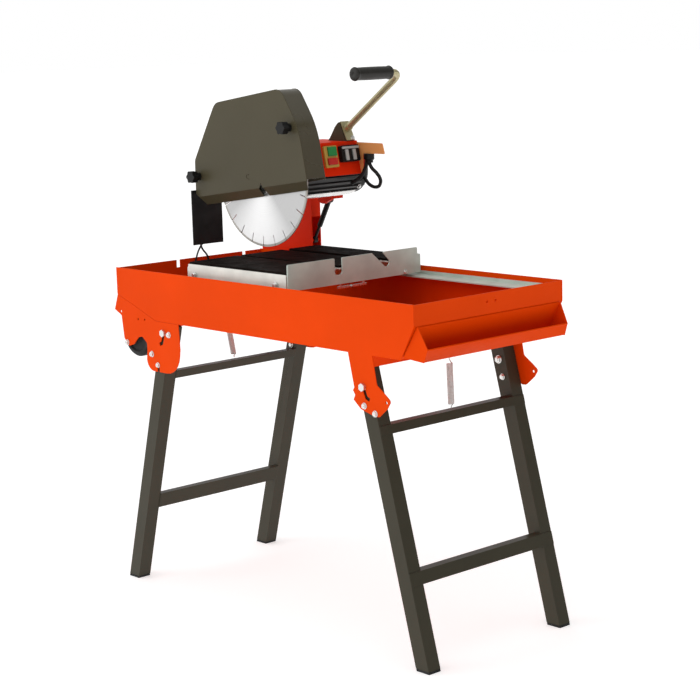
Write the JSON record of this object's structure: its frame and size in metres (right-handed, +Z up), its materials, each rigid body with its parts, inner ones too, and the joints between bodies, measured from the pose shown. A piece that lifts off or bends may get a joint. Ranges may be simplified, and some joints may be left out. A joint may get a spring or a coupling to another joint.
{
  "type": "masonry saw",
  "caption": "Tray-type masonry saw: guarded diamond blade on a swinging, tilting motor head over a rolling cart in a water tray, on two folding leg frames.",
  "frame": {"origin": "floor level, under the middle of the whole saw's outline in plan", "axes": "+X along the tray towards the operator's end, +Y across it towards the column side, +Z up"},
  "size_m": [1.0086, 0.47, 1.177],
  "materials": {
    "orange_paint": "gloss orange powder coat",
    "red_paint": "gloss red-orange powder coat",
    "olive_paint": "satin dark olive-grey powder coat",
    "leg_paint": "satin dark grey powder coat",
    "grey_plate": "galvanised sheet steel",
    "zinc": "bright zinc plate",
    "yellow_zinc": "yellow-passivated zinc plate",
    "blade_steel": "ground steel",
    "black_rubber": "matte black rubber",
    "black_plastic": "matte black plastic",
    "motor_paint": "satin dark grey paint on cast ribs",
    "green_plastic": "gloss green plastic",
    "stop_plastic": "gloss red plastic",
    "gold_plastic": "gloss gold-brown plastic"
  },
  "bodies": {
    "frame": {"tray": "orange_paint", "end_trough": "orange_paint", "cross_channel_front": "orange_paint", "cross_channel_rear": "orange_paint", "column": "red_paint", "water_pump": "black_plastic", "wheel_bracket_near": "orange_paint", "wheel_bracket_far": "orange_paint", "rail_near": "grey_plate", "rail_far": "grey_plate", "front_pivot_bolt_near": "zinc", "front_pivot_bolt_far": "zinc", "rear_pivot_bolt_near": "zinc", "rear_pivot_bolt_far": "zinc", "swing_pin": "zinc"},
    "swing": {"swing_arm": "red_paint"},
    "head": {"head_plate": "red_paint", "motor_body": "motor_paint", "motor_end_cover": "black_plastic", "guard_shell": "olive_paint", "guard_cover": "olive_paint", "control_box": "red_paint", "switch_frame": "gold_plastic", "socket_block": "black_plastic", "handle_bracket": "olive_paint", "handle_tube": "yellow_zinc", "handle_grip": "black_rubber", "cable_gland": "black_plastic", "rear_flap": "black_rubber"},
    "spindle": {"blade": "blade_steel", "motor_shaft": "zinc", "inner_flange": "zinc", "outer_flange": "zinc", "blade_nut": "zinc"},
    "start_button": {"start_button": "green_plastic"},
    "stop_button": {"stop_button": "stop_plastic"},
    "knob_front": {"knob_front": "black_plastic"},
    "knob_rear": {"knob_rear": "black_plastic"},
    "cart": {"cart_frame": "grey_plate", "fence": "grey_plate", "mat_near": "black_rubber", "mat_middle": "black_rubber", "mat_far": "black_rubber"},
    "roller_rear_near": {"roller_rear_near": "black_plastic"},
    "roller_rear_far": {"roller_rear_far": "black_plastic"},
    "roller_front_near": {"roller_front_near": "black_plastic"},
    "roller_front_far": {"roller_front_far": "black_plastic"},
    "front_legs": {"front_leg_frame": "leg_paint", "front_foot_near": "black_rubber", "front_foot_far": "black_rubber"},
    "rear_legs": {"rear_leg_frame": "leg_paint", "rear_foot_near": "black_rubber", "rear_foot_far": "black_rubber"},
    "front_spring": {"front_leg_spring": "zinc"},
    "rear_spring": {"rear_leg_spring": "zinc"},
    "strut_rod": {"strut_rod": "zinc"},
    "strut_cylinder": {"strut_cylinder": "black_plastic"},
    "wheel_near": {"wheel_near": "black_rubber"},
    "wheel_far": {"wheel_far": "black_rubber"}
  },
  "joints": [
    {"name": "head_swing", "type": "hinge", "parent": "frame", "child": "swing", "pos_m": [-0.44473, 0.16575, 0.895], "axis": [0, 1, 0], "range_deg": [0, 8], "stiffness_Nm_per_rad": 240, "springref_deg": -28.65},
    {"name": "head_tilt", "type": "hinge", "parent": "swing", "child": "head", "pos_m": [-0.30953, 0.00575, 0.9392], "axis": [0.9903, 0, 0.1392], "range_deg": [0, 45]},
    {"name": "blade_spin", "type": "hinge", "parent": "head", "child": "spindle", "pos_m": [-0.15673, -0.06025, 0.9375], "axis": [0, 1, 0], "continuous": true},
    {"name": "start_press", "type": "slide", "parent": "head", "child": "start_button", "axis": [-0.9798, 0, -0.2002], "range_m": [0, 0.003], "stiffness_N_per_m": 400, "springref_m": -0.002},
    {"name": "stop_press", "type": "slide", "parent": "head", "child": "stop_button", "axis": [-0.9798, 0, -0.2002], "range_m": [0, 0.003], "stiffness_N_per_m": 400, "springref_m": -0.002},
    {"name": "knob_front_turn", "type": "hinge", "parent": "head", "child": "knob_front", "pos_m": [-0.03173, -0.08625, 1.053], "axis": [0, 1, 0], "range_deg": [0, 720]},
    {"name": "knob_rear_turn", "type": "hinge", "parent": "head", "child": "knob_rear", "pos_m": [-0.35073, -0.08625, 0.937], "axis": [0, 1, 0], "range_deg": [0, 720]},
    {"name": "cart_slide", "type": "slide", "parent": "frame", "child": "cart", "axis": [1, 0, 0], "range_m": [-0.228, 0.385]},
    {"name": "front_legs_fold", "type": "hinge", "parent": "frame", "child": "front_legs", "pos_m": [0.33327, -0.01425, 0.5575], "axis": [0, 1, 0], "range_deg": [0, 104.6], "stiffness_Nm_per_rad": 200, "springref_deg": -34.38},
    {"name": "rear_legs_fold", "type": "hinge", "parent": "frame", "child": "rear_legs", "pos_m": [-0.31973, -0.01425, 0.599], "axis": [0, -1, 0], "range_deg": [0, 105.5], "stiffness_Nm_per_rad": 200, "springref_deg": -34.38},
    {"name": "front_spring_swing", "type": "hinge", "parent": "frame", "child": "front_spring", "pos_m": [0.36127, -0.01425, 0.598], "axis": [0, 1, 0], "range_deg": [0, 65.5]},
    {"name": "rear_spring_swing", "type": "hinge", "parent": "frame", "child": "rear_spring", "pos_m": [-0.36073, -0.01425, 0.598], "axis": [0, -1, 0], "range_deg": [0, 78.7]},
    {"name": "strut_swing", "type": "hinge", "parent": "frame", "child": "strut_rod", "pos_m": [-0.30373, 0.21375, 0.7667], "axis": [0, 1, 0], "range_deg": [0, 5.6]},
    {"name": "strut_slide", "type": "slide", "parent": "strut_rod", "child": "strut_cylinder", "axis": [0.5011, 0, 0.8654], "range_m": [-0.0265, 0]},
    {"name": "wheel_near_spin", "type": "hinge", "parent": "frame", "child": "wheel_near", "pos_m": [-0.43273, -0.20975, 0.581], "axis": [0, 1, 0], "continuous": true},
    {"name": "wheel_far_spin", "type": "hinge", "parent": "frame", "child": "wheel_far", "pos_m": [-0.43273, 0.18125, 0.581], "axis": [0, 1, 0], "continuous": true},
    {"name": "roller_rear_near_spin", "type": "hinge", "parent": "cart", "child": "roller_rear_near", "pos_m": [-0.22673, -0.19575, 0.7348], "axis": [0, 1, 0], "range_deg": [-730, 1230]},
    {"name": "roller_rear_far_spin", "type": "hinge", "parent": "cart", "child": "roller_rear_far", "pos_m": [-0.22673, 0.16725, 0.7348], "axis": [0, 1, 0], "range_deg": [-730, 1230]},
    {"name": "roller_front_near_spin", "type": "hinge", "parent": "cart", "child": "roller_front_near", "pos_m": [0.04727, -0.19575, 0.7348], "axis": [0, 1, 0], "range_deg": [-730, 1230]},
    {"name": "roller_front_far_spin", "type": "hinge", "parent": "cart", "child": "roller_front_far", "pos_m": [0.04727, 0.16725, 0.7348], "axis": [0, 1, 0], "range_deg": [-730, 1230]}
  ],
  "couplings": [
    {"joint": "front_spring_swing", "follows": "front_legs_fold", "ratio": 0.625},
    {"joint": "rear_spring_swing", "follows": "rear_legs_fold", "ratio": 0.745},
    {"joint": "strut_swing", "follows": "head_swing", "ratio": 0.69},
    {"joint": "strut_slide", "follows": "head_swing", "m_per_rad": -0.188},
    {"joint": "roller_rear_near_spin", "follows": "cart_slide", "rad_per_m": 55.556},
    {"joint": "roller_rear_far_spin", "follows": "cart_slide", "rad_per_m": 55.556},
    {"joint": "roller_front_near_spin", "follows": "cart_slide", "rad_per_m": 55.556},
    {"joint": "roller_front_far_spin", "follows": "cart_slide", "rad_per_m": 55.556}
  ]
}
